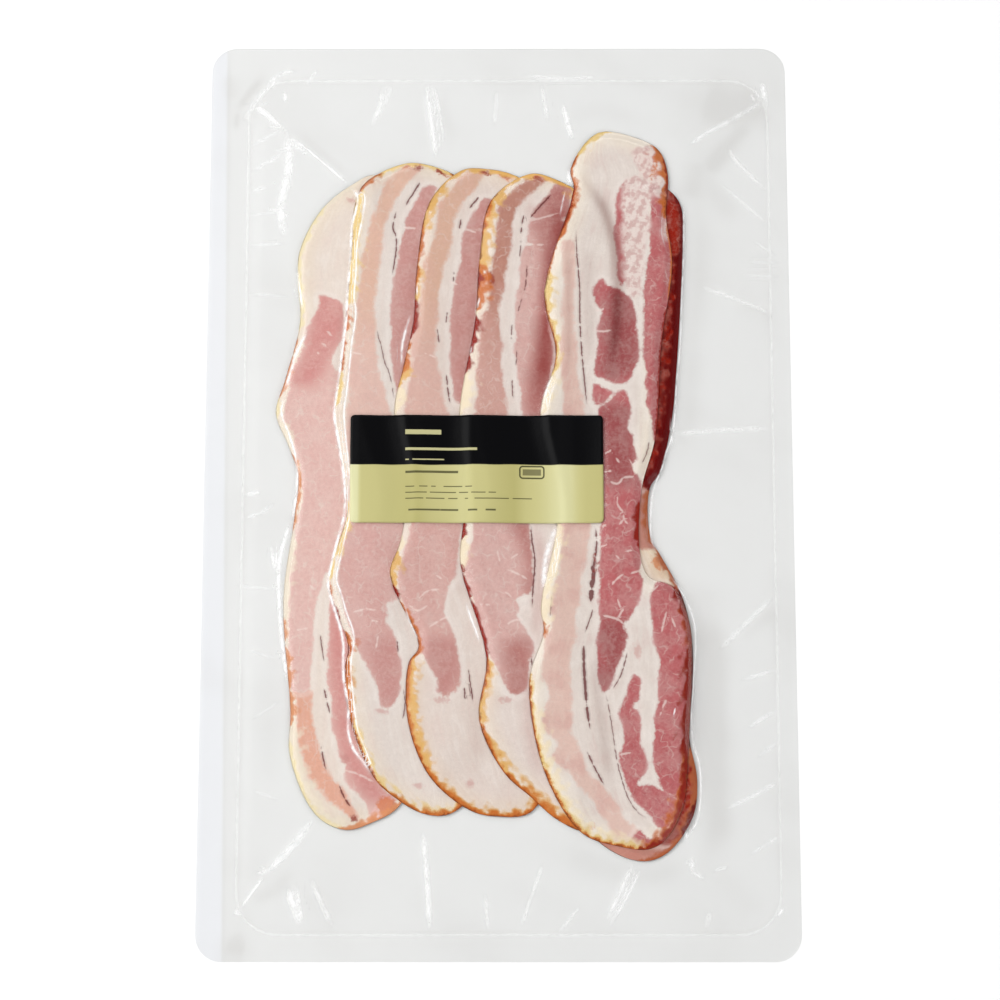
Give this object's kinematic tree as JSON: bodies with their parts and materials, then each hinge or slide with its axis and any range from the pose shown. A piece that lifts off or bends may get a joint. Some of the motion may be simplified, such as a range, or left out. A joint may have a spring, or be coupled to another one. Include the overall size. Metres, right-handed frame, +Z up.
{
  "type": "bacon pack",
  "caption": "Flat clear vacuum pack of overlapping raw bacon slices, with a wide seal all round and a two-tone label stuck across the middle.",
  "frame": {"origin": "under the middle of the pack, on the surface it lies on", "axes": "+Y along the slices, towards the upper edge when the label is read; +X to the label's right; +Z up through the pack"},
  "size_m": [0.203, 0.32, 0.0084],
  "materials": {
    "film": "clear glossy vacuum film",
    "bacon": "moist cured pork, pink lean and creamy fat",
    "label": "satin printed label, black band over pale yellow-green"
  },
  "bodies": {
    "root": {"film_pack": "film", "slice_1": "bacon", "slice_2": "bacon", "slice_3": "bacon", "slice_4": "bacon", "slice_5": "bacon", "slice_6": "bacon", "label": "label"}
  },
  "joints": []
}
